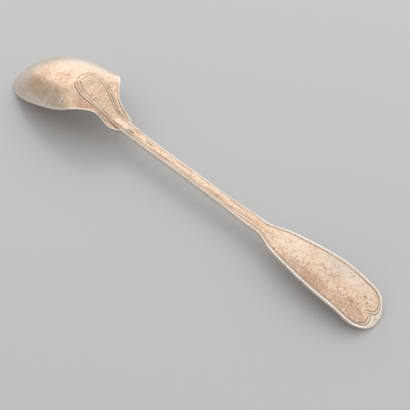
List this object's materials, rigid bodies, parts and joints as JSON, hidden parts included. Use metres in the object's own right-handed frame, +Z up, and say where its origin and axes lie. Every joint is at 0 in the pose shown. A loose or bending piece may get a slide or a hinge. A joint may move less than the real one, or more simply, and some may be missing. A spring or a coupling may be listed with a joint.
{
  "type": "stew spoon",
  "caption": "Large silver serving spoon lying face down: deep oval bowl with a soldered drop on its back, slim stem and a fiddle-shaped end edged with fine threads.",
  "frame": {"origin": "on the table, under the middle of the spoon's length and width", "axes": "+X along the spoon from the bowl to the handle's end, +Z up, +Y across the spoon"},
  "size_m": [0.3061, 0.0538, 0.0365],
  "materials": {
    "bowl_silver": "old polished silver, softly scratched, warm with tarnish",
    "drop_silver": "old polished silver with tarnish left in the threads",
    "handle_silver": "old polished silver with pits, and bright worn edges"
  },
  "bodies": {
    "root": {"bowl": "bowl_silver", "drop": "drop_silver", "handle": "handle_silver"}
  },
  "joints": []
}
